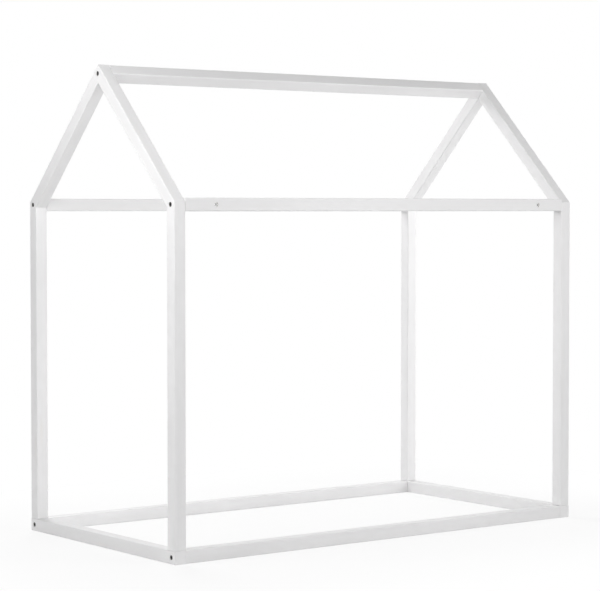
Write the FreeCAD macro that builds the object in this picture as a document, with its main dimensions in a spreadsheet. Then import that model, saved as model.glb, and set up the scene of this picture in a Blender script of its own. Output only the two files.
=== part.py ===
"""House frame bed: two glued gables of square timber, joined by five identical bolted bars.

Frame: +X along the bed's length, +Y to the rear, +Z up, origin on the floor at the footprint's centre.
Each bar end has a hex-socket bolt through the gable into a barrel nut, and two dowels that stop it turning.
"""
import FreeCAD, Part
import math
import os
import Sketcher

SIZES = {
    # The frame
    "bed_length": 1500.0,
    "bed_width": 790.0,
    "wall_height": 998.0,        # floor to the outer corner where wall and roof meet
    "timber": 38.0,              # side of the square section that every member shares
    "edge_radius": 3.0,          # eased long edges of the timber
    # Bolt
    "bolt_diameter": 8.0,
    "bolt_length": 140.0,        # under the head
    "bolt_clearance": 0.3,       # round the shank, in the wood
    "bolt_tip_gap": 1.0,         # from the tip to the end of its hole
    "bolt_past_nut": 3.0,        # how far the tip stands out behind the nut
    "tip_chamfer": 1.0,
    "head_diameter": 13.0,
    "head_height": 8.0,
    "head_chamfer": 0.8,
    "head_recess": 1.0,          # from the gable's face down to the head
    "head_clearance": 0.5,       # round the head, in its counterbore
    "socket_width": 6.0,         # across the flats
    "socket_depth": 4.5,
    # Barrel nut
    "nut_diameter": 12.0,
    "nut_clearance": 0.3,        # round the nut, in the wood
    "nut_recess": 2.0,           # from the bar's face down to the nut
    "nut_floor": 6.0,            # wood left behind the nut
    "nut_chamfer": 0.8,
    "thread_clearance": 0.1,     # round the bolt, in the nut
    "slot_width": 2.0,           # two slots cross on the nut's outer end, from rim to rim
    "slot_depth": 2.0,
    # Dowels
    "dowel_diameter": 8.0,
    "dowel_length": 40.0,
    "dowel_clearance": 0.1,      # round the dowel, in its hole
    "dowel_end_gap": 0.5,        # glue space at each end of a dowel
    "dowel_web": 3.0,            # wood between dowels that cross inside a gable
}

# The ridge bar is square and stands on its edge, so the two slopes meet at a right angle.
ROOF_ANGLE = 45.0
EAVE_MITRE_ANGLE = ROOF_ANGLE / 2
APEX_MITRE_ANGLE = ROOF_ANGLE
HEX_ANGLE = 60

LEFT, RIGHT = -1, 1
FRONT, REAR = -1, 1
SIDES = {"left": LEFT, "right": RIGHT}
FACES = {"front": FRONT, "rear": REAR}

# Turn of each bar about its length, from nuts on the front face (0) round by the rear lower face (135).
BAR_TURNS = {
    "ridge_beam": 135.0,
    "front_eave_beam": 0.0,
    "rear_eave_beam": 180.0,
    "front_bottom_rail": 90.0,
    "rear_bottom_rail": 90.0,
}
BAR_JOINTS = {
    "ridge_beam": "apex",
    "front_eave_beam": "front_eave",
    "rear_eave_beam": "rear_eave",
    "front_bottom_rail": "front_bottom",
    "rear_bottom_rail": "rear_bottom",
}

doc = FreeCAD.newDocument("house_frame_bed")
sheet = doc.addObject("Spreadsheet::Sheet", "Sizes")
for row, (alias, value) in enumerate(SIZES.items(), start=1):
    sheet.set(f"A{row}", alias)
    sheet.set(f"B{row}", str(value))
    sheet.setAlias(f"B{row}", alias)
doc.recompute()

# Expressions over the sheet, named once and used by every piece.
TIMBER = "Sizes.timber"
HALF = "(Sizes.timber / 2)"
HALF_LENGTH = "(Sizes.bed_length / 2)"
HALF_WIDTH = "(Sizes.bed_width / 2)"
MEMBER_Y = f"({HALF_WIDTH} - {HALF})"                          # centre line of posts, eave beams and rails
GABLE_X = f"({HALF_LENGTH} - {HALF})"                          # mid-plane of a gable
BAR_LENGTH = "(Sizes.bed_length - 2 * Sizes.timber)"
POST_LENGTH = "(Sizes.wall_height - Sizes.timber)"
RAFTER_LENGTH = f"({HALF_WIDTH} / cos({ROOF_ANGLE}))"               # along the outer face, corner to apex
EAVE_Z = f"(Sizes.wall_height - {HALF} * tan({EAVE_MITRE_ANGLE}))"   # centre of the eave mitre and beam
RIDGE_Z = f"(Sizes.wall_height + {HALF_WIDTH} - {HALF} / cos({ROOF_ANGLE}))"

BOLT_HOLE = "(Sizes.bolt_diameter + 2 * Sizes.bolt_clearance)"
SEAT_DEPTH = "(Sizes.head_recess + Sizes.head_height)"         # gable's face to the seat under the head
COUNTERBORE = "(Sizes.head_diameter + 2 * Sizes.head_clearance)"
BOLT_HOLE_IN_BAR = f"({SEAT_DEPTH} + Sizes.bolt_length + Sizes.bolt_tip_gap - {TIMBER})"
NUT_X = f"({HALF_LENGTH} - {SEAT_DEPTH} - Sizes.bolt_length + Sizes.bolt_past_nut + Sizes.nut_diameter / 2)"
NUT_HOLE = "(Sizes.nut_diameter + 2 * Sizes.nut_clearance)"
NUT_LENGTH = f"({TIMBER} - Sizes.nut_recess - Sizes.nut_floor)"

DOWEL_HOLE = "(Sizes.dowel_diameter + 2 * Sizes.dowel_clearance)"
DOWEL_OFFSET = f"(({HALF} + {BOLT_HOLE} / 2) / 2)"             # midway from the bolt's hole to the face
IN_GABLE = f"({HALF} - Sizes.dowel_diameter / 2 - Sizes.dowel_web)"
IN_JOINT = "(Sizes.dowel_length / 2)"


def mitre_dowel_offset(mitre):
    """Midway from the bolt's hole to the inner corner, along a mitre."""
    return f"(({HALF} / cos({mitre}) + {BOLT_HOLE} / 2) / 2)"


def negative(expression):
    return f"-({expression})"


def signed(sign, expression):
    return f"{sign} * {expression}"


# ---- Sketches ----------------------------------------------------------------------------------------

def new_body(label):
    body = doc.addObject("PartDesign::Body", label)
    body.Label = label
    return body


def origin_plane(body, role):
    return next(feature for feature in body.Origin.OriginFeatures if feature.Role == role)


def new_sketch(body, role, offset=(0, 0, 0), turn=None):
    """A sketch on one of the body's planes, moved by expressions in the sketch's own axes."""
    sketch = body.newObject("Sketcher::SketchObject", "Sketch")
    sketch.AttachmentSupport = [(origin_plane(body, role), "")]
    sketch.MapMode = "FlatFace"
    if turn:
        axis, angle = turn
        sketch.AttachmentOffset = FreeCAD.Placement(FreeCAD.Vector(), FreeCAD.Rotation(axis, angle))
    for axis_name, distance in zip("xyz", offset):
        if distance != 0:
            sketch.setExpression(f"AttachmentOffset.Base.{axis_name}", distance)
    return sketch


def constrain(sketch, kind, elements, expression):
    index = sketch.addConstraint(Sketcher.Constraint(kind, *elements, 1.0))
    sketch.setExpression(f"Constraints[{index}]", expression)


def place_point(sketch, geometry, vertex, point):
    """Dimensions from the sketch's origin, or the axis itself where a coordinate is 0."""
    for kind, axis, coordinate in (("DistanceX", -2, point[0]), ("DistanceY", -1, point[1])):
        if coordinate == 0:
            sketch.addConstraint(Sketcher.Constraint("PointOnObject", geometry, vertex, axis))
        else:
            constrain(sketch, kind, (geometry, vertex), coordinate)


def add_circles(sketch, centres, diameter):
    for number, centre in enumerate(centres):
        start = FreeCAD.Vector(number, number, 0)
        circle = sketch.addGeometry(Part.Circle(start, FreeCAD.Vector(0, 0, 1), 1.0))
        constrain(sketch, "Diameter", (circle,), diameter)
        place_point(sketch, circle, 3, centre)


def add_polygon(sketch, points):
    """A closed outline whose corners are all dimensioned from the sketch's origin."""
    count = len(points)
    circle = Part.Circle()
    first_guess = [circle.value(math.tau * number / count) for number in range(count)]
    lines = [
        sketch.addGeometry(Part.LineSegment(first_guess[number], first_guess[(number + 1) % count]))
        for number in range(count)
    ]
    for number, line in enumerate(lines):
        following = lines[(number + 1) % count]
        sketch.addConstraint(Sketcher.Constraint("Coincident", line, 2, following, 1))
        place_point(sketch, line, 1, points[number])


# ---- Features ----------------------------------------------------------------------------------------

def pad(body, sketch, length, symmetric=False, reverse=False):
    feature = body.newObject("PartDesign::Pad", "Pad")
    feature.Profile = sketch
    feature.setExpression("Length", length)
    feature.SideType = "Symmetric" if symmetric else "One side"
    feature.Reversed = reverse
    return feature


def pocket(body, sketch, depth=None, reverse=False):
    """Cuts by an expression's depth, or right through both ways without one."""
    feature = body.newObject("PartDesign::Pocket", "Pocket")
    feature.Profile = sketch
    feature.Reversed = reverse
    if depth is None:
        feature.Type = "ThroughAll"
        feature.SideType = "Symmetric"
    else:
        feature.setExpression("Length", depth)
    return feature


def bore(body, role, centres, diameter, depth=None, offset=(0, 0, 0), turn=None, reverse=False):
    """Round holes in one sketch; depth None goes right through."""
    sketch = new_sketch(body, role, offset, turn)
    add_circles(sketch, centres, diameter)
    return pocket(body, sketch, depth, reverse)


def mirror(body, features):
    """Copies features to the other end of a body that is centred on its YZ plane."""
    mirrored = body.newObject("PartDesign::Mirrored", "Mirrored")
    mirrored.Originals = features
    mirrored.MirrorPlane = (origin_plane(body, "YZ_Plane"), [""])
    body.Tip = mirrored


def timber_length(body, length, centred):
    """Square timber along the body's X axis, its centre line on that axis, with eased long edges."""
    sketch = new_sketch(body, "YZ_Plane")
    low = negative(HALF)
    add_polygon(sketch, [(low, low), (HALF, low), (HALF, HALF), (low, HALF)])
    blank = pad(body, sketch, length, symmetric=centred)
    doc.recompute()
    long_edges = [
        f"Edge{number}"
        for number, edge in enumerate(blank.Shape.Edges, start=1)
        if abs(edge.tangentAt(edge.FirstParameter).x) > 0.5
    ]
    eased = body.newObject("PartDesign::Fillet", "EasedEdges")
    eased.Base = (blank, long_edges)
    eased.setExpression("Radius", "Sizes.edge_radius")


def mitre_cut(body, mitre, outer_corner=None):
    """Cuts an end so that its outer (+Y) face stays full length: the start, or the end at outer_corner."""
    past = f"({HALF} * tan({mitre}))"
    back = f"(({TIMBER} + {HALF}) * tan({mitre}))"
    wide = f"(2 * {HALF})"
    sketch = new_sketch(body, "XY_Plane")
    if outer_corner is None:
        corners = [(negative(past), wide), (back, negative(wide))]
        beyond = negative(TIMBER)
    else:
        corners = [(f"{outer_corner} + {past}", wide), (f"{outer_corner} - {back}", negative(wide))]
        beyond = f"{outer_corner} + {TIMBER}"
    add_polygon(sketch, corners + [(beyond, negative(wide)), (beyond, wide)])
    return pocket(body, sketch)


def place(body, base, rotation):
    body.Placement = FreeCAD.Placement(FreeCAD.Vector(), rotation)
    for axis_name, distance in zip("xyz", base):
        if distance != 0:
            body.setExpression(f"Placement.Base.{axis_name}", distance)


def axes_rotation(x_axis, y_axis):
    x_axis = FreeCAD.Vector(*x_axis)
    y_axis = FreeCAD.Vector(*y_axis)
    return FreeCAD.Rotation(x_axis, y_axis, x_axis.cross(y_axis), "XYZ")


def turn_about_x(angle):
    return FreeCAD.Rotation(FreeCAD.Vector(1, 0, 0), angle)


# ---- Gable members -----------------------------------------------------------------------------------
# A post's or rafter's own frame: X along it, +Y its outer face in the gable's plane, Z through the gable.
# outward is +1 or -1: the Z side that is the gable's outer face.

def through_gable(body, centres, outward):
    """Bolt holes and counterbores, which the two members of a mitre share half and half."""
    bore(body, "XY_Plane", centres, BOLT_HOLE)
    face = (0, 0, signed(outward, HALF))
    bore(body, "XY_Plane", centres, COUNTERBORE, SEAT_DEPTH, face, reverse=outward < 0)


def inner_face_dowel_holes(body, centres, outward):
    face = (0, 0, signed(-outward, HALF))
    depth = f"{IN_GABLE} + Sizes.dowel_end_gap"
    return bore(body, "XY_Plane", centres, DOWEL_HOLE, depth, face, reverse=outward > 0)


def mitre_dowel_hole(body, mitre, outer_corner=None):
    """One dowel hole square to a mitre, between the bolt and the inner corner."""
    depth = f"{IN_JOINT} + Sizes.dowel_end_gap"
    offset = mitre_dowel_offset(mitre)
    inward = negative(f"{offset} * cos({mitre})")
    along = f"{HALF} * tan({mitre}) + {offset} * sin({mitre})"
    at_start = outer_corner is None
    station = along if at_start else f"{outer_corner} - ({along})"
    angle = mitre if at_start else -mitre
    turn = (FreeCAD.Vector(0, 1, 0), angle)
    place_in_plane = (inward, 0, station)
    bore(body, "YZ_Plane", [(0, 0)], DOWEL_HOLE, depth, place_in_plane, turn, reverse=at_start)


def make_post(label, side, face):
    outward = -side * face
    body = new_body(label)
    timber_length(body, POST_LENGTH, centred=False)
    mitre_cut(body, EAVE_MITRE_ANGLE, POST_LENGTH)
    joint = f"{POST_LENGTH} - {HALF} * tan({EAVE_MITRE_ANGLE})"
    through_gable(body, [(joint, 0)], outward)
    inner_face_dowel_holes(body, [(f"{joint} - {DOWEL_OFFSET}", 0)], outward)
    mitre_dowel_hole(body, EAVE_MITRE_ANGLE, POST_LENGTH)
    foot_depth = f"{IN_JOINT} + Sizes.dowel_end_gap"
    foot_centres = [(DOWEL_OFFSET, 0), (negative(DOWEL_OFFSET), 0)]
    bore(body, "YZ_Plane", foot_centres, DOWEL_HOLE, foot_depth, reverse=True)
    base = (signed(side, GABLE_X), signed(face, MEMBER_Y), TIMBER)
    place(body, base, axes_rotation((0, 0, 1), (0, face, 0)))


def make_rafter(label, side, face):
    outward = -side * face
    body = new_body(label)
    timber_length(body, RAFTER_LENGTH, centred=False)
    mitre_cut(body, EAVE_MITRE_ANGLE)
    mitre_cut(body, APEX_MITRE_ANGLE, RAFTER_LENGTH)
    eave = f"{HALF} * tan({EAVE_MITRE_ANGLE})"
    apex = f"{RAFTER_LENGTH} - {HALF} * tan({APEX_MITRE_ANGLE})"
    through_gable(body, [(eave, 0), (apex, 0)], outward)
    # The eave beam's upper dowel stands straight above the bolt; the ridge bar's two lie across the ridge
    # from front low to rear high, one in each rafter.
    eave_dowel = (f"{eave} + {DOWEL_OFFSET} * sin({ROOF_ANGLE})", f"{DOWEL_OFFSET} * cos({ROOF_ANGLE})")
    apex_dowel = (f"{apex} - {DOWEL_OFFSET}", 0) if face == FRONT else (apex, DOWEL_OFFSET)
    inner_face_dowel_holes(body, [eave_dowel, apex_dowel], outward)
    mitre_dowel_hole(body, EAVE_MITRE_ANGLE)
    mitre_dowel_hole(body, APEX_MITRE_ANGLE, RAFTER_LENGTH)
    base = (
        signed(side, GABLE_X),
        signed(face, f"({HALF_WIDTH} - {HALF} * sin({ROOF_ANGLE}))"),
        f"Sizes.wall_height - {HALF} * cos({ROOF_ANGLE})",
    )
    place(body, base, axes_rotation((0, -face, 1), (0, face, 1)))


def make_cross_rail(label, side):
    """Own frame: X along the rail from its middle, +Y up, -Z the gable's outer face."""
    body = new_body(label)
    timber_length(body, "Sizes.bed_width", centred=True)
    through = bore(body, "XY_Plane", [(MEMBER_Y, 0)], BOLT_HOLE)
    face = (0, 0, negative(HALF))
    counterbore = bore(body, "XY_Plane", [(MEMBER_Y, 0)], COUNTERBORE, SEAT_DEPTH, face, reverse=True)
    pair = [(f"{MEMBER_Y} + {DOWEL_OFFSET}", 0), (f"{MEMBER_Y} - {DOWEL_OFFSET}", 0)]
    inner = inner_face_dowel_holes(body, pair, outward=-1)
    top_depth = f"{IN_JOINT} + Sizes.dowel_end_gap"
    top = bore(body, "XZ_Plane", pair, DOWEL_HOLE, top_depth, (0, 0, negative(HALF)), reverse=True)
    mirror(body, [through, counterbore, inner, top])
    place(body, (signed(side, GABLE_X), 0, HALF), axes_rotation((0, -side, 0), (0, 0, 1)))


# ---- Long bars ---------------------------------------------------------------------------------------

def make_bar(label, centre):
    """One bar design, used five times. Own frame: X along the bar from its middle, -Y the nuts' face."""
    body = new_body(label)
    timber_length(body, BAR_LENGTH, centred=True)
    end = (0, 0, f"({BAR_LENGTH} / 2)")
    bolt_hole = bore(body, "YZ_Plane", [(0, 0)], BOLT_HOLE, BOLT_HOLE_IN_BAR, end)
    in_bar = f"Sizes.dowel_length - {IN_GABLE} + Sizes.dowel_end_gap"
    dowel_centres = [(0, DOWEL_OFFSET), (0, negative(DOWEL_OFFSET))]
    dowel_holes = bore(body, "YZ_Plane", dowel_centres, DOWEL_HOLE, in_bar, end)
    nut_depth = f"Sizes.nut_recess + {NUT_LENGTH}"
    nut_hole = bore(body, "XZ_Plane", [(NUT_X, 0)], NUT_HOLE, nut_depth, (0, 0, HALF))
    mirror(body, [bolt_hole, dowel_holes, nut_hole])
    place(body, (0,) + centre, turn_about_x(BAR_TURNS[label]))


# ---- Fasteners ---------------------------------------------------------------------------------------

def make_bolt(label, side, centre):
    """Own frame: X along the bolt, from the seat under the head towards the tip."""
    radius = "(Sizes.bolt_diameter / 2)"
    head_radius = "(Sizes.head_diameter / 2)"
    top = negative("Sizes.head_height")
    body = new_body(label)
    outline = new_sketch(body, "XY_Plane")
    add_polygon(outline, [
        (top, 0),
        (top, f"{head_radius} - Sizes.head_chamfer"),
        (f"{top} + Sizes.head_chamfer", head_radius),
        (0, head_radius),
        (0, radius),
        ("Sizes.bolt_length - Sizes.tip_chamfer", radius),
        ("Sizes.bolt_length", f"{radius} - Sizes.tip_chamfer"),
        ("Sizes.bolt_length", 0),
    ])
    turned = body.newObject("PartDesign::Revolution", "Revolution")
    turned.Profile = outline
    turned.ReferenceAxis = (outline, ["H_Axis"])
    turned.Angle = 360.0
    corner = f"(Sizes.socket_width / 2 / cos({HEX_ANGLE / 2}))"
    socket = new_sketch(body, "YZ_Plane", (0, 0, top))
    add_polygon(socket, [
        (f"{corner} * cos({angle + HEX_ANGLE / 2})", f"{corner} * sin({angle + HEX_ANGLE / 2})")
        for angle in range(0, 360, HEX_ANGLE)
    ])
    pocket(body, socket, "Sizes.socket_depth", reverse=True)
    base = (signed(side, f"({HALF_LENGTH} - {SEAT_DEPTH})"),) + centre
    place(body, base, axes_rotation((-side, 0, 0), (0, -side, 0)))


def chamfer_rims(body, feature, size):
    """Chamfers the circular rims at both ends of a round feature."""
    doc.recompute()
    rims = [
        f"Edge{number}"
        for number, edge in enumerate(feature.Shape.Edges, start=1)
        if isinstance(edge.Curve, Part.Circle)
    ]
    chamfer = body.newObject("PartDesign::Chamfer", "Chamfer")
    chamfer.Base = (feature, rims)
    chamfer.setExpression("Size", size)


def make_barrel_nut(label, side, centre, turn):
    """Own frame: the thread along X through the origin, the barrel along Y, its crossed slots at -Y."""
    slotted_end = f"({HALF} - Sizes.nut_recess)"
    reach = "(Sizes.nut_diameter / 2 + Sizes.nut_chamfer)"    # past the rim
    arm = "(Sizes.slot_width / 2)"
    body = new_body(label)
    section = new_sketch(body, "XZ_Plane", (0, 0, slotted_end))
    add_circles(section, [(0, 0)], "Sizes.nut_diameter")
    barrel = pad(body, section, NUT_LENGTH, reverse=True)
    chamfer_rims(body, barrel, "Sizes.nut_chamfer")
    bore(body, "YZ_Plane", [(0, 0)], "Sizes.bolt_diameter + 2 * Sizes.thread_clearance")
    cross = new_sketch(body, "XZ_Plane", (0, 0, slotted_end), (FreeCAD.Vector(0, 0, 1), ROOF_ANGLE))
    quadrant = [(reach, negative(arm)), (reach, arm), (arm, arm)]
    corners = list(quadrant)
    for _ in range(3):
        quadrant = [(negative(across), along) for along, across in quadrant]
        corners += quadrant
    add_polygon(cross, corners)
    pocket(body, cross, "Sizes.slot_depth")
    place(body, (signed(side, NUT_X),) + centre, turn_about_x(turn))


def make_dowels(label, base, rotation, start, pair):
    """Dowels along the body's X axis from -start: one on the axis, or a pair on either side in Z."""
    body = new_body(label)
    centres = [(0, DOWEL_OFFSET), (0, negative(DOWEL_OFFSET))] if pair else [(0, 0)]
    section = new_sketch(body, "YZ_Plane", (0, 0, negative(start)))
    add_circles(section, centres, "Sizes.dowel_diameter")
    pad(body, section, "Sizes.dowel_length")
    place(body, base, rotation)


# ---- The bed -----------------------------------------------------------------------------------------

JOINT_CENTRES = {
    "apex": (0, RIDGE_Z),
    "front_eave": (signed(FRONT, MEMBER_Y), EAVE_Z),
    "rear_eave": (signed(REAR, MEMBER_Y), EAVE_Z),
    "front_bottom": (signed(FRONT, MEMBER_Y), HALF),
    "rear_bottom": (signed(REAR, MEMBER_Y), HALF),
}

for bar_name, joint_name in BAR_JOINTS.items():
    make_bar(bar_name, JOINT_CENTRES[joint_name])

for side_name, side_sign in SIDES.items():
    gable_x = signed(side_sign, GABLE_X)

    # The gable and its glued joints
    make_cross_rail(f"{side_name}_bottom_cross_rail", side_sign)
    for face_name, face_sign in FACES.items():
        make_post(f"{side_name}_{face_name}_post", side_sign, face_sign)
        make_rafter(f"{side_name}_{face_name}_rafter", side_sign, face_sign)
        foot = (gable_x, signed(face_sign, MEMBER_Y), TIMBER)
        upright = axes_rotation((0, 0, 1), (1, 0, 0))
        make_dowels(f"{side_name}_{face_name}_foot_dowels", foot, upright, IN_JOINT, pair=True)
        shift = mitre_dowel_offset(EAVE_MITRE_ANGLE)
        mitre_point = (
            gable_x,
            signed(face_sign, f"({MEMBER_Y} - {shift} * cos({EAVE_MITRE_ANGLE}))"),
            f"{EAVE_Z} - {shift} * sin({EAVE_MITRE_ANGLE})",
        )
        across_mitre = turn_about_x(face_sign * EAVE_MITRE_ANGLE).multiply(upright)
        make_dowels(f"{side_name}_{face_name}_mitre_dowel", mitre_point, across_mitre, IN_JOINT, pair=False)
    apex_point = (gable_x, 0, f"{RIDGE_Z} - {mitre_dowel_offset(APEX_MITRE_ANGLE)}")
    level = axes_rotation((0, 1, 0), (0, 0, 1))
    make_dowels(f"{side_name}_apex_mitre_dowel", apex_point, level, IN_JOINT, pair=False)

    # The bolted joints with the five bars
    for bar_name, joint_name in BAR_JOINTS.items():
        joint_centre = JOINT_CENTRES[joint_name]
        make_bolt(f"{side_name}_{joint_name}_bolt", side_sign, joint_centre)
        bar_turn = BAR_TURNS[bar_name]
        make_barrel_nut(f"{side_name}_{joint_name}_barrel_nut", side_sign, joint_centre, bar_turn)
        inner_face = (signed(side_sign, f"({BAR_LENGTH} / 2)"),) + joint_centre
        into_bar = turn_about_x(bar_turn).multiply(axes_rotation((-side_sign, 0, 0), (0, -side_sign, 0)))
        make_dowels(f"{side_name}_{joint_name}_bar_dowels", inner_face, into_bar, IN_GABLE, pair=True)

doc.recompute()

# ---- Checks and export -------------------------------------------------------------------------------

for item in doc.Objects:
    if "Invalid" in item.State or "Error" in item.State:
        raise RuntimeError(f"{item.Name} of {item.Label} failed: {item.State}")
    if item.TypeId == "PartDesign::Pocket" and item.Shape.Volume >= item.BaseFeature.Shape.Volume:
        raise RuntimeError(f"{item.Name} cuts nothing")

pieces = [item for item in doc.Objects if item.TypeId == "PartDesign::Body"]
for piece in pieces:
    if piece.Shape.isNull() or not piece.Shape.isValid():
        raise RuntimeError(f"{piece.Label} has no valid shape")

os.makedirs("parts", exist_ok=True)
for piece in pieces:
    piece.Shape.exportStep(f"parts/{piece.Label}.step")
print(f"{len(pieces)} pieces written")
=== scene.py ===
"""House frame bed: white painted timbers, black bolts, zinc barrel nuts and beech dowels, on a pale floor."""

import math

import bpy
from mathutils import Matrix, Vector


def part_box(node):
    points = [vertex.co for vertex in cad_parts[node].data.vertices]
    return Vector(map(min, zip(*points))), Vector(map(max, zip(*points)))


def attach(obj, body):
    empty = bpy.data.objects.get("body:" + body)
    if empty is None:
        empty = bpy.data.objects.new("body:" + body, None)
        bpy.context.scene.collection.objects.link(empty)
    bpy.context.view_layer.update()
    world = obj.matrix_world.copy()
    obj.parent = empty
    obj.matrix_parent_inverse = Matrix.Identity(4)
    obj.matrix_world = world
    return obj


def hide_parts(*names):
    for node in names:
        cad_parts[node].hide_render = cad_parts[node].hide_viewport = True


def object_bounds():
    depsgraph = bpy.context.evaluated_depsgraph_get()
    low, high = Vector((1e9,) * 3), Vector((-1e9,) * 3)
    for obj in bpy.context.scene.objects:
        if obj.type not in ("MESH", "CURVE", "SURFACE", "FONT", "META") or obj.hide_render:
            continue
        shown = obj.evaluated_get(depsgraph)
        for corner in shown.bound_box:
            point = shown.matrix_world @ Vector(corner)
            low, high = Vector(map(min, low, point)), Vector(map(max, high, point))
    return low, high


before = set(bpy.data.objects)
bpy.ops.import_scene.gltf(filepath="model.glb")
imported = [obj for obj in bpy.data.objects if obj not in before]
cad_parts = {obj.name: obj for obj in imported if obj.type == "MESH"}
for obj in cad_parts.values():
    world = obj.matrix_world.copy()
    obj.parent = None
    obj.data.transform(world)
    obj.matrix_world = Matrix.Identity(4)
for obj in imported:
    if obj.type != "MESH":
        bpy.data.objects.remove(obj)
CAD_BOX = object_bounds()
BODY = "root"
MM = 0.001
QUARTER = math.pi / 2

# ---- Where the frame has its members, in metres ----

eave_low, eave_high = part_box("front_eave_beam")
ridge_low, ridge_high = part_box("ridge_beam")
SIDE = eave_high.z - eave_low.z                    # of the square timber
HALF = SIDE / 2
BAR_LENGTH = eave_high.x - eave_low.x              # between the gables
GABLE_X = (CAD_BOX[1].x - CAD_BOX[0].x) / 2        # outer face of a gable
MEMBER_Y = abs(eave_low.y + eave_high.y) / 2       # centre of posts, eave beams and bottom rails
EAVE_Z = (eave_low.z + eave_high.z) / 2
RIDGE_Z = (ridge_low.z + ridge_high.z) / 2
EAVE_MITRE = math.tan(math.pi / 8)                 # slopes of the mitres
APEX_MITRE = 1.0
RIDGE_TURN = math.radians(45)                      # the ridge beam stands on its edge

# ---- Sizes that the frame's boxes don't show ----

SQUARE_RIM, MITRE_RIM = 1 * MM, 0.4 * MM           # sanded rims of the members' ends
FOOT_SEAM = 0.3 * MM                               # the glue line under a post
HEAD_RECESS = 1 * MM                               # of a bolt head behind the gable's face
SEAT_DEPTH = 9 * MM                                # of a counterbore
NUT_X = 610 * MM                                   # of the barrel nuts, from the bed's middle
NUT_RECESS = 2 * MM                                # of a nut's upper end behind the timber's face
NUT_FLOOR = 6 * MM                                 # of timber under a nut
NUT_TOP, NUT_BOTTOM = HALF - NUT_RECESS, -HALF + NUT_FLOOR
OVERSHOOT = 3 * MM                                 # of a cutting solid beyond the face that it opens
BOLT_HOLE = {
    "Seat Radius": 7 * MM, "Seat Depth": SEAT_DEPTH - HEAD_RECESS,
    "Bore Radius": 4.15 * MM, "Bore Depth": 149 * MM, "Overshoot": OVERSHOOT,
}
NUT_HOLE = {"Radius": 6.3 * MM, "Top": HALF + OVERSHOOT, "Bottom": NUT_BOTTOM}
BOLT = {
    "Head Radius": 6.5 * MM, "Head Height": 8 * MM, "Head Round": 0.8 * MM, "Shank Radius": 4 * MM,
    "Length": 140 * MM, "Thread Length": 42 * MM, "Pitch": 1.25 * MM, "Thread Depth": 0.6 * MM,
    "Tip": 1 * MM, "Socket Width": 6 * MM, "Socket Depth": 4.5 * MM, "Seed": 7,
}
BARREL_NUT = {
    "Radius": 6 * MM, "Top": NUT_TOP, "Bottom": NUT_BOTTOM, "Chamfer": 0.8 * MM, "Bore Radius": 4.1 * MM,
    "Slot Length": 13.6 * MM, "Slot Width": 2 * MM, "Slot Depth": 2 * MM,
}
# Guard keeps the faces beside a rounding flat, Softness is how much the rounding wanders, and Planing how
# uneven the flats are
TIMBER = {
    "Side": SIDE, "Edge Radius": 3 * MM, "Ring Spacing": 25 * MM, "Guard": 1.2 * MM,
    "Softness": 0.18, "Planing": 0.08 * MM,
}


# ---- Nodes written as sums ----


def is_vector(value):
    """True for a wire that carries a vector, and for a vector of plain numbers."""
    return value.socket.type == "VECTOR" if isinstance(value, Wire) else isinstance(value, (tuple, Vector))


class Wire:
    """An output socket in a sum: operators on wires and numbers add Math or Vector Math nodes."""

    def __init__(self, graph, socket):
        self.graph, self.socket = graph, socket

    def out(self, name):
        """Another output of the same node."""
        return Wire(self.graph, next(s for s in self.socket.node.outputs if s.name == name and s.enabled))

    def _sum(self, operation, *values):
        kind = "ShaderNodeVectorMath" if any(map(is_vector, values)) else "ShaderNodeMath"
        return self.graph.add(kind, {"operation": operation}, dict(enumerate(values)))

    def __add__(self, other):
        return self._sum("ADD", self, other)

    def __radd__(self, other):
        return self._sum("ADD", other, self)

    def __sub__(self, other):
        return self._sum("SUBTRACT", self, other)

    def __rsub__(self, other):
        return self._sum("SUBTRACT", other, self)

    def __mul__(self, other):
        return self._sum("MULTIPLY", self, other)

    def __rmul__(self, other):
        return self._sum("MULTIPLY", other, self)

    def __truediv__(self, other):
        return self._sum("DIVIDE", self, other)

    def __rtruediv__(self, other):
        return self._sum("DIVIDE", other, self)

    def __neg__(self):
        return self * -1.0

    def least(self, other):
        return self._sum("MINIMUM", self, other)

    def most(self, other):
        return self._sum("MAXIMUM", self, other)

    def floor(self):
        return self._sum("FLOOR", self)

    def sine(self):
        return self._sum("SINE", self)

    def cosine(self):
        return self._sum("COSINE", self)

    def size(self):
        return self._sum("ABSOLUTE", self)

    def over(self, other):
        """1 where this is greater."""
        return self._sum("GREATER_THAN", self, other)

    def near(self, other, reach=0.1):
        """1 where the two are equal within reach."""
        return self._sum("COMPARE", self, other, reach)

    def held(self):
        """Kept between 0 and 1."""
        return self.most(0.0).least(1.0)

    def dot(self, other):
        return self._sum("DOT_PRODUCT", self, other)

    def unit(self):
        return self._sum("NORMALIZE", self)

    def length(self):
        return self._sum("LENGTH", self)

    def fade(self, low, high):
        """0 at low and 1 at high, with a smooth turn between them."""
        return self.graph.add(
            "ShaderNodeMapRange",
            {"interpolation_type": "SMOOTHSTEP"},
            {"Value": self, "From Min": low, "From Max": high},
        )


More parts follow.
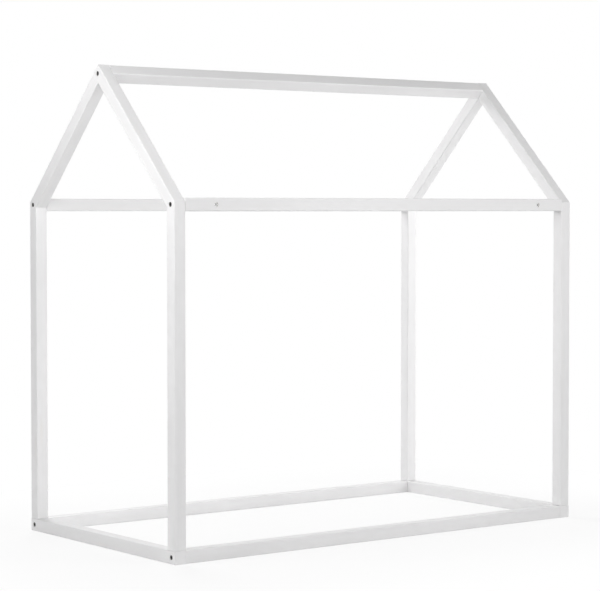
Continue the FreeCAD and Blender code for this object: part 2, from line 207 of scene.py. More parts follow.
class Graph:
    """Adds nodes to one tree."""

    def __init__(self, tree):
        self.tree = tree

    def add(self, kind, settings=None, sockets=None):
        """A node of this kind: settings first, then its sockets' values or links. Gives its first output."""
        node = self.tree.nodes.new(kind)
        for name, value in (settings or {}).items():
            if name == "items":
                while len(node.index_switch_items) < value:
                    node.index_switch_items.new()
            else:
                setattr(node, name, value)
        for name, value in (sockets or {}).items():
            if isinstance(name, int):
                socket = node.inputs[name]
            else:
                socket = next(s for s in node.inputs if s.name == name and s.enabled)
            if isinstance(value, Wire):
                self.tree.links.new(value.socket, socket)
            elif socket.type == "VECTOR" and isinstance(value, (int, float)):
                socket.default_value = (value,) * 3
            else:
                socket.default_value = value
        shown = [s for s in node.outputs if s.enabled]
        return Wire(self, shown[0]) if shown else None

    def vector(self, x, y, z):
        return self.add("ShaderNodeCombineXYZ", None, {"X": x, "Y": y, "Z": z})

    def parts(self, vector):
        first = self.add("ShaderNodeSeparateXYZ", None, {0: vector})
        return [first.out(axis) for axis in "XYZ"]


def choose(where, other, this):
    """this where the mask is 1, and other where it is 0."""
    return other + (this - other) * where


# ---- Geometry Nodes trees ----

SHARP = math.radians(40)         # edges above this angle are shaded sharp
INDEX_GUARD = 0.001              # keeps a rounded-down index from falling one short


def new_tree(name, inputs):
    """A geometry tree with these named inputs, and a wire for each."""
    tree = bpy.data.node_groups.new(name, "GeometryNodeTree")
    tree.interface.new_socket("Geometry", in_out="INPUT", socket_type="NodeSocketGeometry")
    for label, kind in inputs.items():
        tree.interface.new_socket(label, in_out="INPUT", socket_type="NodeSocket" + kind)
    tree.interface.new_socket("Geometry", in_out="OUTPUT", socket_type="NodeSocketGeometry")
    graph = Graph(tree)
    given = tree.nodes.new("NodeGroupInput")
    return graph, {s.name: Wire(graph, s) for s in given.outputs if s.name}


def end_tree(graph, shape, material):
    """Realize Instances, Set Material and the tree's output."""
    whole = graph.add("GeometryNodeRealizeInstances", None, {"Geometry": shape})
    dressed = graph.add("GeometryNodeSetMaterial", None, {"Geometry": whole, "Material": material})
    graph.add("NodeGroupOutput", None, {"Geometry": dressed})
    return graph


def grow(name, graph, values, base=None, place=None):
    """Runs a tree on a base mesh and keeps the result as a plain mesh, with its place in the mesh."""
    place = place or Matrix.Identity(4)
    base = base or bpy.data.meshes.new(name + "_base")
    grower = bpy.data.objects.new(name + "_grower", base)
    bpy.context.scene.collection.objects.link(grower)
    grower.matrix_world = place
    modifier = grower.modifiers.new(name, "NODES")
    modifier.node_group = graph.tree
    for item in graph.tree.interface.items_tree:
        if item.in_out == "INPUT" and item.name in values:
            modifier[item.identifier] = values[item.name]
    bpy.context.view_layer.update()
    depsgraph = bpy.context.evaluated_depsgraph_get()
    mesh = bpy.data.meshes.new_from_object(grower.evaluated_get(depsgraph))
    mesh.transform(place)
    mesh.name = name
    bpy.data.objects.remove(grower)
    piece = bpy.data.objects.new(name, mesh)
    bpy.context.scene.collection.objects.link(piece)
    return piece


def store(graph, shape, name, value, domain="POINT", kind="FLOAT"):
    return graph.add(
        "GeometryNodeStoreNamedAttribute",
        {"data_type": kind, "domain": domain},
        {"Geometry": shape, "Name": name, "Value": value},
    )


def position(graph):
    return graph.add("GeometryNodeInputPosition")


def store_run(graph, shape, shift=None):
    """The place in the shape's own axes, as the attribute that the finishes draw their patterns from."""
    place = position(graph)
    return store(graph, shape, "run", place if shift is None else place + shift, kind="FLOAT_VECTOR")


def smooth_but_for_sharp_edges(graph, shape):
    angle = graph.add("GeometryNodeInputMeshEdgeAngle")
    smooth = graph.add(
        "GeometryNodeSetShadeSmooth", {"domain": "FACE"}, {"Geometry": shape, "Shade Smooth": True}
    )
    return graph.add(
        "GeometryNodeSetShadeSmooth",
        {"domain": "EDGE"},
        {"Geometry": smooth, "Selection": angle.over(SHARP), "Shade Smooth": False},
    )


def cut_away(graph, shape, *tools):
    joined = graph.add("GeometryNodeJoinGeometry")
    for tool in tools:
        graph.tree.links.new(tool.socket, joined.socket.node.inputs[0])
    return graph.add(
        "GeometryNodeMeshBoolean",
        {"operation": "DIFFERENCE", "solver": "EXACT"},
        {"Mesh 1": shape, "Mesh 2": joined, "Self Intersection": True},
    )


def turn_and_move(graph, shape, rotation, translation=(0, 0, 0)):
    return graph.add(
        "GeometryNodeTransform", None, {"Geometry": shape, "Rotation": rotation, "Translation": translation}
    )


def cylinder(graph, around, segments=1, radius=1.0, depth=1.0):
    """A closed cylinder on the Z axis; its points are numbered ring by ring."""
    return graph.add(
        "GeometryNodeMeshCylinder",
        {"fill_type": "NGON"},
        {"Vertices": around, "Side Segments": segments, "Radius": radius, "Depth": depth},
    )


def ring_and_index(graph, around):
    """For each point of a cylinder the ring that it is on, and its own number."""
    index = graph.add("GeometryNodeInputIndex")
    return (index / around + INDEX_GUARD).floor(), index


def by_index(graph, index, values):
    items = {str(i): value for i, value in enumerate(values)}
    settings = {"data_type": "FLOAT", "items": len(values)}
    return graph.add("GeometryNodeIndexSwitch", settings, {"Index": index, **items})


def lathe(graph, stations, around):
    """A turned solid on the X axis through (place, radius) stations, from the +X end to the -X end."""
    rod = cylinder(graph, around, len(stations) - 1)
    station = ring_and_index(graph, around)[0]
    place, radius = (by_index(graph, station, values) for values in zip(*stations))
    y, z = graph.parts(position(graph))[:2]
    turned = graph.vector(place, y * radius, z * radius)
    return graph.add("GeometryNodeSetPosition", None, {"Geometry": rod, "Position": turned})


def on_points(graph, points, shape, extra_turn=(0, 0, 0)):
    """A copy of the shape at each point, turned as the point's facing says."""
    facing = graph.add("GeometryNodeInputNamedAttribute", {"data_type": "FLOAT_VECTOR"}, {"Name": "facing"})
    turned = graph.add("FunctionNodeEulerToRotation", None, {"Euler": facing + extra_turn})
    return graph.add(
        "GeometryNodeInstanceOnPoints", None, {"Points": points, "Instance": shape, "Rotation": turned}
    )


def flat_noise(graph, x, y, detail):
    return graph.add(
        "ShaderNodeTexNoise",
        {"noise_dimensions": "2D"},
        {"Vector": graph.vector(x, y, 0.0), "Scale": 1.0, "Detail": detail},
    )


# How the edges' wear and the planing change from ring to ring, from edge to edge and from timber to timber
WEAR_PER_RING, WEAR_PER_EDGE, WEAR_PER_TIMBER = 0.21, 5.3, 9.7
PLANING_PER_RING, PLANING_PER_TIMBER = 0.13, 5.1
# Where the growth rings have their middle, beside the timber's own, and how far that differs between timbers
PITH_ALONG, PITH_ACROSS, PITH_UP = 2.71, 26 * MM, 20 * MM
PITH_ACROSS_SPREAD, PITH_UP_SPREAD = 14 * MM, 12 * MM
PITH_ACROSS_TURN, PITH_UP_TURN = 7.3, 4.1


def timber_tree():
    """A planed and drilled timber on the X axis: rounded long edges, mitred or plain ends, sanded rims."""
    arc, rim_arc = 6, 4                      # segments of a long edge and of a rim
    quarter_points = arc + 3                 # an arc's points and two that keep the flat next to it flat
    around = 4 * quarter_points
    end_rings = rim_arc + 3                  # a ring on the end face, the rim's, and one on the sides
    graph, given = new_tree(
        "timber",
        {
            "Length": "Float", "Side": "Float", "Edge Radius": "Float", "Ring Spacing": "Float",
            "Guard": "Float", "Start Slope": "Float", "Start Rim": "Float", "End Slope": "Float",
            "End Rim": "Float", "Softness": "Float", "Planing": "Float", "Seed": "Float",
            "Drillings": "Object", "Paint": "Material",
        },
    )
    length, guard, seed = given["Length"], given["Guard"], given["Seed"]
    last = (length / given["Ring Spacing"]).floor() + (2 * end_rings - 1)
    rod = cylinder(graph, around, last)
    ring, index = ring_and_index(graph, around)
    step = index - ring * around
    from_end = ring.least(last - ring)
    at_start = ring.over(last * 0.5)
    sign = choose(at_start, 1.0, -1.0)

    # Round the section: the angle of the surface, and the corner that the point belongs to
    quarter = ((step + 0.5) / quarter_points).floor()
    on_arc = step - quarter * quarter_points
    after, before = on_arc.near(arc + 1), on_arc.near(arc + 2)
    angle = (on_arc.least(arc) / arc + quarter) * QUARTER
    edge_number = quarter + before
    corner = (edge_number + 0.5) * QUARTER
    wear = flat_noise(graph, ring * WEAR_PER_RING + seed * WEAR_PER_TIMBER, edge_number * WEAR_PER_EDGE, 2.0)
    radius = given["Edge Radius"] * (1.0 + wear * given["Softness"])
    planing = flat_noise(graph, ring * PLANING_PER_RING + seed * PLANING_PER_TIMBER, seed, 1.0)
    body = from_end.over(end_rings - 0.5)
    inward = planing * given["Planing"] * body
    normal = graph.vector(0.0, angle.cosine(), angle.sine())
    along_flat = graph.vector(0.0, -angle.sine(), angle.cosine())
    half = given["Side"] * 0.5
    reach = (half - radius) * math.sqrt(2)
    section = (
        graph.vector(0.0, corner.cosine() * reach, corner.sine() * reach)
        + normal * (radius - inward)
        + along_flat * (guard * (after - before))
    )
    across, up = graph.parts(section)[1:]

    def rim_centre(end, slope, rim):
        """Centre of the rim's arc, and the end face's outward normal."""
        face = (graph.vector(1.0, -slope, 0.0) * end).unit()
        edge = graph.vector(length * end * 0.5 + slope * across, across, up)
        return edge - (normal + face) * (rim / (1.0 + normal.dot(face))), face

    # The rings at the two ends go round the rim, and the others lie between them at even steps
    rim = choose(at_start, given["End Rim"], given["Start Rim"])
    centre, face = rim_centre(sign, choose(at_start, given["End Slope"], given["Start Slope"]), rim)
    lean = (1.0 - (from_end - 1.0) / rim_arc).held()
    rounded = centre + (normal + (face - normal) * lean).unit() * rim
    on_face = (normal - face * normal.dot(face)).unit()
    first_on_side = from_end.near(rim_arc + 2)
    at_end = (
        rounded
        - on_face * (guard * from_end.near(0))
        - graph.vector(sign * guard * first_on_side, 0.0, 0.0)
    )
    far_x, near_x = (
        graph.parts(rim_centre(way, given[end + " Slope"], given[end + " Rim"])[0])[0] - guard * way
        for way, end in ((1.0, "End"), (-1.0, "Start"))
    )
    share = (ring - (end_rings - 1)) / (last - 2 * (end_rings - 1))
    between = graph.vector(far_x + (near_x - far_x) * share, across, up)
    x, y, z = graph.parts(choose(body, at_end, between))
    kept = graph.vector(x, y.least(half).most(-half), z.least(half).most(-half))
    shaped = graph.add("GeometryNodeSetPosition", None, {"Geometry": rod, "Position": kept})

    # Marks for the paint, the holes, and the grain
    half_arc = arc / 2
    on_edge = (1.0 - (on_arc - half_arc).size() / half_arc).held()
    marked = store(graph, shaped, "eased", on_edge)
    # Rims and end faces: rougher with end grain, and painted lighter there as a painted highlight of the
    # joints' edges
    marked = store(graph, marked, "sawn", lean)
    drillings = graph.add(
        "GeometryNodeObjectInfo", {"transform_space": "RELATIVE"}, {"Object": given["Drillings"]}
    ).out("Geometry")
    drilled = cut_away(graph, marked, drillings)
    pith = graph.vector(
        seed * PITH_ALONG,
        PITH_ACROSS + (seed * PITH_ACROSS_TURN).sine() * PITH_ACROSS_SPREAD,
        PITH_UP + (seed * PITH_UP_TURN).cosine() * PITH_UP_SPREAD,
    )
    return end_tree(graph, smooth_but_for_sharp_edges(graph, store_run(graph, drilled, pith)), given["Paint"])


HOLE_AROUND, BOLT_AROUND, NUT_AROUND = 40, 32, 40      # sides of the turned shapes


def bolt_drilling_tree():
    """Counterbores with their bolt bores, as solids to be cut away, at the points of the base mesh."""
    graph, given = new_tree(
        "bolt_drillings",
        {
            "Seat Radius": "Float", "Seat Depth": "Float", "Bore Radius": "Float", "Bore Depth": "Float",
            "Overshoot": "Float", "Paint": "Material",
        },
    )
    seat, bore, seat_end = given["Seat Radius"], given["Bore Radius"], -given["Seat Depth"]
    stations = [(given["Overshoot"], seat), (seat_end, seat), (seat_end, bore), (-given["Bore Depth"], bore)]
    # Marks the hole walls, which the paint darkens: partly bare wood, partly painted shade
    marked = store(graph, lathe(graph, stations, HOLE_AROUND), "drilled", 1.0, domain="FACE")
    return end_tree(graph, on_points(graph, given["Geometry"], marked), given["Paint"])


def nut_drilling_tree():
    """Blind holes for the barrel nuts, as solids to be cut away."""
    graph, given = new_tree(
        "nut_drillings", {"Radius": "Float", "Top": "Float", "Bottom": "Float", "Paint": "Material"}
    )
    tool = lathe(graph, [(given["Top"], given["Radius"]), (given["Bottom"], given["Radius"])], HOLE_AROUND)
    # Marks the hole walls, which the paint darkens: partly bare wood, partly painted shade
    marked = store(graph, turn_and_move(graph, tool, (0, -QUARTER, 0)), "drilled", 1.0, domain="FACE")
    return end_tree(graph, on_points(graph, given["Geometry"], marked), given["Paint"])


HEAD_STEPS = 4                   # of the bolt head's rounded rim
HEAD_FLAT = 1.6                  # roundings from its side to its flat face
THREAD_TURNS = 32
# The drill point under the hexagon: its sides, its rise into the socket, and shares of the socket's width
DRILL_AROUND, DRILL_LIFT, DRILL_WIDTH, DRILL_DEPTH, DRILL_TIP = 24, 0.5 * MM, 0.47, 0.26, 0.02
# The lead-in at the socket's mouth: places, and radii as shares of half the socket's width
LEAD_IN = ((0.3 * MM, 1.28), (0.0, 1.2), (-0.7 * MM, 1.0))


def bolt_tree():
    """A furniture bolt on the X axis, its face at the point: hexagon socket, plain shank and thread."""
    graph, given = new_tree(
        "bolt",
        {
            "Head Radius": "Float", "Head Height": "Float", "Head Round": "Float", "Shank Radius": "Float",
            "Length": "Float", "Thread Length": "Float", "Pitch": "Float", "Thread Depth": "Float",
            "Tip": "Float", "Socket Width": "Float", "Socket Depth": "Float", "Seed": "Int",
            "Finish": "Material",
        },
    )
    head, height, rounding = given["Head Radius"], given["Head Height"], given["Head Round"]
    shank, tip = given["Shank Radius"], given["Tip"]
    socket_width, socket_depth = given["Socket Width"], given["Socket Depth"]
    stations = [(0.0, head - rounding * HEAD_FLAT)]
    for i in range(HEAD_STEPS + 1):
        lean = QUARTER * i / HEAD_STEPS
        stations.append((-rounding * (1 - math.cos(lean)), head - rounding * (1 - math.sin(lean))))
    stations += [(-height, head), (-height, shank)]
    start = height + given["Length"] - given["Thread Length"]
    stations.append((-start, shank))
    for i in range(2 * THREAD_TURNS):
        groove = given["Thread Depth"] * ((i + 1) % 2)
        stations.append((-(start + given["Pitch"] * (i * 0.5 + 0.5)), shank - groove))
    end = height + given["Length"]
    stations += [(-(end - tip), shank), (-end, shank - tip)]
    turned = lathe(graph, stations, BOLT_AROUND)
    key = cylinder(graph, 6, radius=socket_width / math.sqrt(3), depth=socket_depth * 2)
    drill_point = lathe(
        graph,
        [
            (-socket_depth + DRILL_LIFT, socket_width * DRILL_WIDTH),
            (-socket_depth, socket_width * DRILL_WIDTH),
            (-socket_depth - socket_width * DRILL_DEPTH, socket_width * DRILL_TIP),
        ],
        DRILL_AROUND,
    )
    mouth = socket_width * 0.5
    lead_in = lathe(graph, [(place, mouth * width) for place, width in LEAD_IN], BOLT_AROUND)
    cut = cut_away(graph, turned, turn_and_move(graph, key, (0, QUARTER, 0)), drill_point, lead_in)
    whole = store_run(graph, smooth_but_for_sharp_edges(graph, cut))
    spin = graph.add(
        "FunctionNodeRandomValue", {"data_type": "FLOAT"}, {"Min": 0.0, "Max": 1.0, "Seed": given["Seed"]}
    )
    copies = on_points(graph, given["Geometry"], whole, graph.vector(spin, 0.0, 0.0))
    return end_tree(graph, copies, given["Finish"])


# The nut's upper rim: chamfers down from its top and in from its side
NUT_CROWN = ((0.0, 1.5), (0.0, 1.0), (0.3, 0.35), (1.0, 0.0))


def nut_tree():
    """A barrel nut on the Z axis: two crossed slots in its upper end, threaded hole along X at its origin."""
    graph, given = new_tree(
        "barrel_nut",
        {
            "Radius": "Float", "Top": "Float", "Bottom": "Float", "Chamfer": "Float", "Bore Radius": "Float",
            "Slot Length": "Float", "Slot Width": "Float", "Slot Depth": "Float", "Finish": "Material",
        },
    )
    radius, top, bottom, chamfer = given["Radius"], given["Top"], given["Bottom"], given["Chamfer"]
    stations = [(top - chamfer * down, radius - chamfer * inward) for down, inward in NUT_CROWN]
    stations += [(bottom + chamfer, radius), (bottom, radius - chamfer)]
    upright = turn_and_move(graph, lathe(graph, stations, NUT_AROUND), (0, -QUARTER, 0))
    slot_size = graph.vector(given["Slot Length"], given["Slot Width"], given["Slot Depth"] * 2)
    wing = graph.add("GeometryNodeMeshCube", None, {"Size": slot_size})
    # Marks the slots' walls, where the zinc finish paints a painted shade
    milled = store(graph, wing, "recess", 1.0, domain="FACE")
    raise_by = graph.vector(0.0, 0.0, top)
    slots = [turn_and_move(graph, milled, (0, 0, way * math.pi / 4), raise_by) for way in (1, -1)]
    thread = cylinder(graph, BOLT_AROUND, radius=given["Bore Radius"], depth=radius * 3)
    cut = cut_away(graph, upright, *slots, turn_and_move(graph, thread, (0, QUARTER, 0)))
    whole = store_run(graph, smooth_but_for_sharp_edges(graph, cut))
    return end_tree(graph, on_points(graph, given["Geometry"], whole), given["Finish"])


# ---- Finishes: patterns in waves per metre along, across and up, relief in millimetres ----


def new_material(name):
    material = bpy.data.materials.new(name)
    material.use_nodes = True
    material.node_tree.nodes.clear()
    return material, Graph(material.node_tree)


def end_material(graph, shader):
    graph.add("ShaderNodeOutputMaterial", None, {"Surface": shader})


def end_principled(graph, colour, roughness, height, **others):
    """A Principled BSDF with a relief, as the material's surface."""
    normal = graph.add("ShaderNodeBump", None, {"Strength": 1.0, "Distance": MM, "Height": height})
    others = {name.replace("_", " "): value for name, value in others.items()}
    sockets = {"Base Color": colour, "Roughness": roughness, "Normal": normal, **others}
    end_material(graph, graph.add("ShaderNodeBsdfPrincipled", None, sockets))


def named(graph, attribute, output="Fac"):
    return graph.add("ShaderNodeAttribute", {"attribute_name": attribute}).out(output)


def noise(graph, place, scale=1.0, detail=2.0, roughness=0.5):
    sockets = {"Vector": place, "Scale": scale, "Detail": detail, "Roughness": roughness}
    return graph.add("ShaderNodeTexNoise", None, sockets)


def mix_colour(graph, factor, first, second):
    return graph.add("ShaderNodeMix", {"data_type": "RGBA"}, {"Factor": factor, "A": first, "B": second})


THIN_PAINT, THICK_PAINT = (0.801, 0.797, 0.802, 1), (0.851, 0.847, 0.852, 1)
SPOTTED_PAINT = (0.785, 0.781, 0.782, 1)
PAINT_ON_LATE_WOOD = (0.768, 0.761, 0.748, 1)
PAINT_ON_KNOT = (0.760, 0.715, 0.630, 1)
WORN_PAINT = (0.740, 0.700, 0.640, 1)
# Painted highlight: the sawn ends and their rims get this lighter white, standing in for light caught at the
# joints
PAINTED_HIGHLIGHT_ON_SAWN_END = (0.880, 0.876, 0.880, 1)
# Hole walls: bare wood under thin paint, and darker still as painted shade inside the holes
BARE_WOOD_AND_PAINTED_SHADE_IN_HOLE = (0.560, 0.530, 0.480, 1)
GROWTH_RING = 4.2 * MM
PAINT_SPECULAR = 0.45


def white_paint():
    """Satin paint brushed on planed pine: fibres, growth rings and a few knots still show through faintly;
    painted highlight on sawn ends, and painted shade in holes.
    """
    material, graph = new_material("white_satin_paint")
    run = named(graph, "run", "Vector")
    eased, sawn, drilled = (named(graph, name) for name in ("eased", "sawn", "drilled"))
    along, across, up = graph.parts(run)
    wander = noise(graph, graph.vector(along * 1.3, across * 3.0, up * 3.0), detail=1.0) - 0.5
    from_pith = graph.vector(0.0, across + wander * 0.02, up + wander * 0.013).length()
    waver = noise(graph, run * (5.0, 60.0, 60.0)) * 3.0
    rings = (from_pith * (2 * math.pi / GROWTH_RING) + waver).sine() * 0.5 + 0.5
    fibres = noise(graph, run * (9.0, 420.0, 420.0), detail=3.0, roughness=0.65)
    brush = noise(graph, run * (16.0, 1300.0, 1300.0), detail=2.0)
    peel = noise(graph, run, scale=620.0, detail=1.0)
    cloud = noise(graph, run * (2.2, 11.0, 11.0), detail=2.0)
    mottle = noise(graph, run * (22.0, 60.0, 60.0), detail=3.0)
    knot_cell = {"Vector": run * (2.1, 15.0, 15.0), "Scale": 1.0, "Randomness": 1.0}
    knot = 1.0 - graph.add("ShaderNodeTexVoronoi", {"feature": "F1"}, knot_cell).fade(0.05, 0.16)
    scuff = noise(graph, run * (30.0, 140.0, 140.0), detail=4.0, roughness=0.7)
    worn = (eased * 1.4 * scuff).fade(0.62, 0.95)

    paint = mix_colour(graph, cloud.fade(0.3, 0.7), THIN_PAINT, THICK_PAINT)
    for share, tint in (
        (mottle.fade(0.35, 0.75) * 0.35, SPOTTED_PAINT),
        (rings * 0.10, PAINT_ON_LATE_WOOD),
        (knot * 0.22, PAINT_ON_KNOT),
        (worn * 0.30, WORN_PAINT),
        # painted highlight on the sawn ends and their rims
        (sawn * 0.35, PAINTED_HIGHLIGHT_ON_SAWN_END),
        # hole walls: partly bare wood, partly painted shade
        (drilled * 0.6, BARE_WOOD_AND_PAINTED_SHADE_IN_HOLE),
    ):
        paint = mix_colour(graph, share, paint, tint)
    roughness = 0.36 + cloud * 0.10 + fibres * 0.08 + sawn * 0.18 + drilled * 0.25 + worn * 0.1
    height = (
        rings * 0.016 * (1.0 + sawn * 2.0)
        + fibres * (0.016 + sawn * 0.03 + drilled * 0.05)
        + brush * 0.008
        + peel * 0.006
        + knot * 0.03
        - worn * 0.03
    )
    end_principled(graph, paint, roughness, height, Specular_IOR_Level=PAINT_SPECULAR)
    return material


BLACK_OXIDE, BLACK_OXIDE_PALE = (0.045, 0.045, 0.046, 1), (0.080, 0.079, 0.080, 1)
RUBBED_STEEL = (0.16, 0.155, 0.15, 1)


def black_steel():
    """Black oxide on turned steel, rubbed a little bright on its rims and in the socket."""
    material, graph = new_material("black_oxide_steel")
    run = named(graph, "run", "Vector")
    patches = noise(graph, run, scale=900.0, detail=3.0)
    lathe_marks = noise(graph, run * (5200.0, 400.0, 400.0), detail=1.0)
    rims = graph.add("ShaderNodeNewGeometry").out("Pointiness").fade(0.53, 0.62)
    rubbed = rims * patches.fade(0.35, 0.6)
    colour = mix_colour(graph, patches.fade(0.3, 0.8), BLACK_OXIDE, BLACK_OXIDE_PALE)
    colour = mix_colour(graph, rubbed * 0.5, colour, RUBBED_STEEL)
    roughness = 0.38 + patches * 0.18 - rubbed * 0.12
    height = lathe_marks * 0.006 + patches * 0.004
    end_principled(graph, colour, roughness, height, Metallic=0.6 + rubbed * 0.35)
    return material


# The last is a painted shade: dark grey painted into the nut's slots, where shade falls
ZINC_BRIGHT, ZINC_DULL, PAINTED_SLOT_SHADE = (0.88, 0.88, 0.88, 1), (0.75, 0.755, 0.76, 1), (0.24, 0.24, 0.24, 1)


def zinc_steel():
    """Bright zinc with a brushed face; its slots rougher, less metallic and painted dark as painted shade."""
    material, graph = new_material("zinc_plated_steel")
    run = named(graph, "run", "Vector")
    patches = noise(graph, run, scale=700.0, detail=3.0)
    brushed = noise(graph, run * (3000.0, 260.0, 260.0), detail=2.0)
    slot_shade = named(graph, "recess")
    colour = mix_colour(graph, patches.fade(0.3, 0.75), ZINC_BRIGHT, ZINC_DULL)
    # Painted shade in the slots
    colour = mix_colour(graph, slot_shade * 0.9, colour, PAINTED_SLOT_SHADE)
    roughness = 0.42 + patches * 0.16 + slot_shade * 0.3
    end_principled(graph, colour, roughness, brushed * 0.008, Metallic=0.9 - slot_shade * 0.6)
    return material


BEECH_DARK, BEECH_LIGHT = (0.56, 0.37, 0.21, 1), (0.68, 0.50, 0.32, 1)
BEECH_FLECK, BEECH_CLOUD = (0.36, 0.20, 0.10, 1), (0.62, 0.45, 0.30, 1)
BEECH_ALONG, BEECH_ACROSS = 30.0, 600.0
FLECKS_FINER = 2.5


def beech(way):
    """Beech for the dowels whose grain runs along this axis."""
    material, graph = new_material("beech_dowel_" + way)
    place = graph.add("ShaderNodeTexCoord").out("Object")
    stretch = tuple(BEECH_ALONG if axis == way else BEECH_ACROSS for axis in "xyz")
    fibres = noise(graph, place * stretch, detail=3.0, roughness=0.6)
    flecks = noise(graph, place * tuple(s * FLECKS_FINER for s in stretch), detail=1.0).fade(0.58, 0.72)
    cloud = noise(graph, place, scale=60.0, detail=1.0)
    colour = mix_colour(graph, fibres.fade(0.3, 0.7), BEECH_DARK, BEECH_LIGHT)
    colour = mix_colour(graph, flecks * 0.5, colour, BEECH_FLECK)
    colour = mix_colour(graph, cloud.fade(0.4, 0.7) * 0.3, colour, BEECH_CLOUD)
    end_principled(graph, colour, 0.55 + fibres * 0.2, fibres * 0.05 - flecks * 0.04)
    return material


# ---- The bed ----

WHITE, BLACK, ZINC = white_paint(), black_steel(), zinc_steel()


def points_mesh(name, places, facings):
    """Loose points, each with the turn of what stands on it."""
    mesh = bpy.data.meshes.new(name)
    mesh.from_pydata(places, [], [])
    facing = mesh.attributes.new("facing", "FLOAT_VECTOR", "POINT")
    facing.data.foreach_set("vector", [v for f in facings for v in f])
    return mesh


ENDS = {"left": -1, "right": 1}
# Each bar's joint, its centre's Y and Z, and the turn about X that brings the nut's upper end to its face
BARS = {
    "ridge_beam": ("apex", 0.0, RIDGE_Z, -3 * RIDGE_TURN),
    "front_eave_beam": ("front_eave", -MEMBER_Y, EAVE_Z, QUARTER),
    "rear_eave_beam": ("rear_eave", MEMBER_Y, EAVE_Z, -QUARTER),
    "front_bottom_rail": ("front_bottom", -MEMBER_Y, HALF, math.pi),
    "rear_bottom_rail": ("rear_bottom", MEMBER_Y, HALF, math.pi),
}

bolt_places, bolt_facings, nut_places, nut_facings, bolt_nodes, nut_nodes = [], [], [], [], [], []
for end, way in ENDS.items():
    for joint, y, z, turn in BARS.values():
        bolt_places.append((way * (GABLE_X - HEAD_RECESS), y, z))
        bolt_facings.append((0.0, 0.0, 0.0 if way > 0 else math.pi))
        nut_places.append((way * NUT_X, y, z))
        nut_facings.append((turn, 0.0, 0.0))
        bolt_nodes.append(f"{end}_{joint}_bolt")
        nut_nodes.append(f"{end}_{joint}_barrel_nut")
bolt_points = points_mesh("bolt_places", bolt_places, bolt_facings)
nut_points = points_mesh("nut_places", nut_places, nut_facings)

bolt_holes = grow("bolt_holes", bolt_drilling_tree(), {**BOLT_HOLE, "Paint": WHITE}, bolt_points)
nut_holes = grow("nut_holes", nut_drilling_tree(), {**NUT_HOLE, "Paint": WHITE}, nut_points)
drillings = bpy.data.objects.new("drillings", bpy.data.meshes.new("drillings"))
bpy.context.scene.collection.objects.link(drillings)
joined = [drillings, bolt_holes, nut_holes]
with bpy.context.temp_override(
    active_object=drillings, object=drillings, selected_editable_objects=joined, selected_objects=joined
):
    bpy.ops.object.join()

bolts = grow("bolts", bolt_tree(), {**BOLT, "Finish": BLACK}, bolt_points)
nuts = grow("barrel_nuts", nut_tree(), {**BARREL_NUT, "Finish": ZINC}, nut_points)


def axes(along, outward, centre):
    """The place of a timber that runs along one direction, with its own Y outward."""
    along, outward = Vector(along).normalized(), Vector(outward).normalized()
    place = Matrix((along, outward, along.cross(outward))).transposed().to_4x4()
    place.translation = centre
    return place


# Each timber: its CAD node, where it lies, its length, and the slope and the rim's radius of its two ends
SQUARE_END = (0.0, SQUARE_RIM)
EAVE_OF_POST, EAVE_OF_RAFTER = (EAVE_MITRE, MITRE_RIM), (-EAVE_MITRE, MITRE_RIM)
APEX_OF_RAFTER = (APEX_MITRE, MITRE_RIM)
timbers = []
for bar, (_, y, z, _) in BARS.items():
    lean = RIDGE_TURN if bar == "ridge_beam" else 0.0
    place = axes((1, 0, 0), (0, math.cos(lean), math.sin(lean)), (0, y, z))
    timbers.append((bar, place, BAR_LENGTH, SQUARE_END, SQUARE_END))
foot = SIDE + FOOT_SEAM
post_length = EAVE_Z - foot
rafter_length = MEMBER_Y * math.sqrt(2)
for end, way in ENDS.items():
    x = way * (GABLE_X - HALF)
    place = axes((0, 1, 0), (0, 0, 1), (x, 0, HALF))
    timbers.append((f"{end}_bottom_cross_rail", place, 2 * (MEMBER_Y + HALF), SQUARE_END, SQUARE_END))
    for side, out in (("front", -1), ("rear", 1)):
        place = axes((0, 0, 1), (0, out, 0), (x, out * MEMBER_Y, foot + post_length / 2))
        timbers.append((f"{end}_{side}_post", place, post_length, SQUARE_END, EAVE_OF_POST))
        place = axes((0, -out, 1), (0, out, 1), (x, out * MEMBER_Y / 2, (EAVE_Z + RIDGE_Z) / 2))
        timbers.append((f"{end}_{side}_rafter", place, rafter_length, EAVE_OF_RAFTER, APEX_OF_RAFTER))

timber = timber_tree()
for number, (node, place, length, start, finish) in enumerate(timbers):
    own = {
        "Length": length, "Seed": float(number), "Drillings": drillings, "Paint": WHITE,
        "Start Slope": start[0], "Start Rim": start[1], "End Slope": finish[0], "End Rim": finish[1],
    }
    piece = grow(node + "_timber", timber, {**TIMBER, **own}, place=place)
    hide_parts(node)
    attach(piece, BODY)
bpy.data.objects.remove(drillings)

for piece, nodes, finish in ((bolts, bolt_nodes, "black_bolt_steel"), (nuts, nut_nodes, "nut_steel")):
    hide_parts(*nodes)
    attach(piece, BODY)

dowel_finishes = {}
for name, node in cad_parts.items():
    if "dowel" in name:
        way = "x" if "bar_dowels" in name else "z" if "foot" in name else "y"
        if way not in dowel_finishes:
            dowel_finishes[way] = beech(way)
        for material_slot in node.material_slots:
            material_slot.material = dowel_finishes[way]

# ---- Floor, light and camera ----

FLOOR_REACH = 30.0
FLOOR_COLOUR = 0.92
# The floor near the bed, as it is seen: a glow kept below white as painted shade round the bed, and the share
# of real light that adds to it and shows the bed's real shadow
FLOOR_GLOW_IN_PAINTED_SHADE, FLOOR_SHADE = 0.795, 0.20
# Over these distances the painted shade round the bed fades to white
FLOOR_FADE = (0.05, 0.8)         # metres from the bed between which the floor turns white
WALL_LIGHT = 0.93
WALL_TOP = (0.29, 0.54)          # sine of the heights between which the walls' light ends
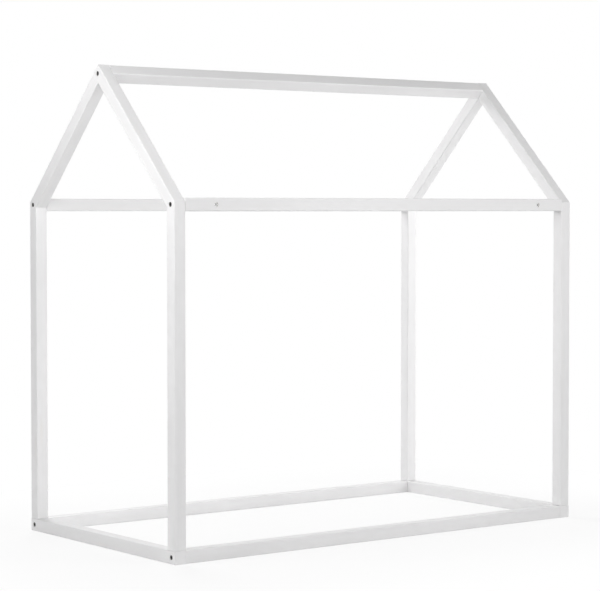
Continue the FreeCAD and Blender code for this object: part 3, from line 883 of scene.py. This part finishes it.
# Place, aim, side and power of each
SOFT_BOXES = (
    ((-1.66, -0.62, 1.51), (-0.28, -0.41, 0.50), 1.39, 14.6),
    ((1.82, -3.74, 2.92), (1.32, 0.37, 0.64), 2.15, 37.0),
    ((0.16, -1.10, 1.11), (0.25, -0.07, 0.41), 1.59, 4.0),
    ((2.01, -0.31, 1.01), (0.74, 1.91, 0.72), 0.99, 12.9),
    ((0.06, 1.55, 2.80), (1.64, 0.43, 0.15), 0.96, 7.0),
    ((-0.20, 1.96, 2.46), (0.56, 1.59, 0.82), 1.54, 43.9),
)
CAMERA_PLACE = (-3.8821, -5.1175, 0.9762)
CAMERA_FORWARD = (0.60164417, 0.79768931, -0.04142528)
CAMERA_LENS, CAMERA_SENSOR, CAMERA_REACH = 124.42, 36.0, 100.0


def grey(level):
    return (level, level, level, 1)


def glow(graph, level):
    return graph.add("ShaderNodeEmission", None, {"Color": grey(level), "Strength": 1.0})


def matt(graph, level):
    return graph.add("ShaderNodeBsdfDiffuse", None, {"Color": grey(level)})


def mix_shaders(graph, factor, first, second):
    return graph.add("ShaderNodeMixShader", None, {0: factor, 1: first, 2: second})


def light_paths(graph):
    """1 for the rays that show the backdrop: the camera's, and those in gloss and glass."""
    seen = graph.add("ShaderNodeLightPath")
    return (seen + seen.out("Is Glossy Ray") + seen.out("Is Transmission Ray")).held()


def pale_floor():
    """A wide pale floor: white where it is seen far from the bed, and darker near it, from a painted shade
    that fades with the distance from the bed and from the bed's real soft shadow.
    """
    mesh = bpy.data.meshes.new("studio_floor")
    corners = [(x * FLOOR_REACH, y * FLOOR_REACH, 0) for x, y in ((-1, -1), (1, -1), (1, 1), (-1, 1))]
    mesh.from_pydata(corners, [], [(0, 1, 2, 3)])
    floor = bpy.data.objects.new("studio_floor", mesh)
    bpy.context.scene.collection.objects.link(floor)
    material, graph = new_material("pale_studio_floor")
    x, y = graph.parts(graph.add("ShaderNodeTexCoord").out("Object"))[:2]
    beyond = graph.vector((x.size() - GABLE_X).most(0.0), (y.size() - MEMBER_Y - HALF).most(0.0), 0.0)
    # Near the bed: a glow under white as painted shade, plus real light with the bed's real shadow
    near = graph.add("ShaderNodeAddShader", None, {0: glow(graph, FLOOR_GLOW_IN_PAINTED_SHADE), 1: matt(graph, FLOOR_SHADE)})
    shown = mix_shaders(graph, beyond.length().fade(*FLOOR_FADE), near, glow(graph, 1.0))
    end_material(graph, mix_shaders(graph, light_paths(graph), matt(graph, FLOOR_COLOUR), shown))
    mesh.materials.append(material)


def white_world():
    """Pale walls all round that light the object from the sides, seen as a white backdrop."""
    world = bpy.data.worlds.new("white_studio")
    world.use_nodes = True
    world.node_tree.nodes.clear()
    graph = Graph(world.node_tree)
    height = graph.parts(graph.add("ShaderNodeTexCoord").out("Generated"))[2]
    wall = 1.0 - height.fade(*WALL_TOP)
    light, white = (
        graph.add("ShaderNodeBackground", None, {"Color": grey(1.0), "Strength": strength})
        for strength in (wall * WALL_LIGHT, 1.0)
    )
    surface = mix_shaders(graph, light_paths(graph), light, white)
    graph.add("ShaderNodeOutputWorld", None, {"Surface": surface})
    bpy.context.scene.world = world


def face_along(thing, place, forward):
    """Stands a lamp or a camera at its place, upright and looking forward."""
    bpy.context.scene.collection.objects.link(thing)
    thing.location = place
    thing.rotation_mode = "QUATERNION"
    thing.rotation_quaternion = Vector(forward).to_track_quat("-Z", "Y")


def soft_box(place, target, side, power):
    """A square lamp that the camera doesn't see."""
    lamp = bpy.data.lights.new("soft_box", "AREA")
    lamp.shape, lamp.size, lamp.energy = "SQUARE", side, power
    box = bpy.data.objects.new("soft_box", lamp)
    face_along(box, place, Vector(target) - Vector(place))
    box.visible_camera = False


pale_floor()
white_world()
for box in SOFT_BOXES:
    soft_box(*box)

camera_data = bpy.data.cameras.new("camera")
camera_data.sensor_width = CAMERA_SENSOR
camera_data.lens = CAMERA_LENS
camera_data.clip_end = CAMERA_REACH
camera = bpy.data.objects.new("camera", camera_data)
face_along(camera, CAMERA_PLACE, CAMERA_FORWARD)
bpy.context.scene.camera = camera
bpy.context.scene.view_settings.view_transform = "Standard"
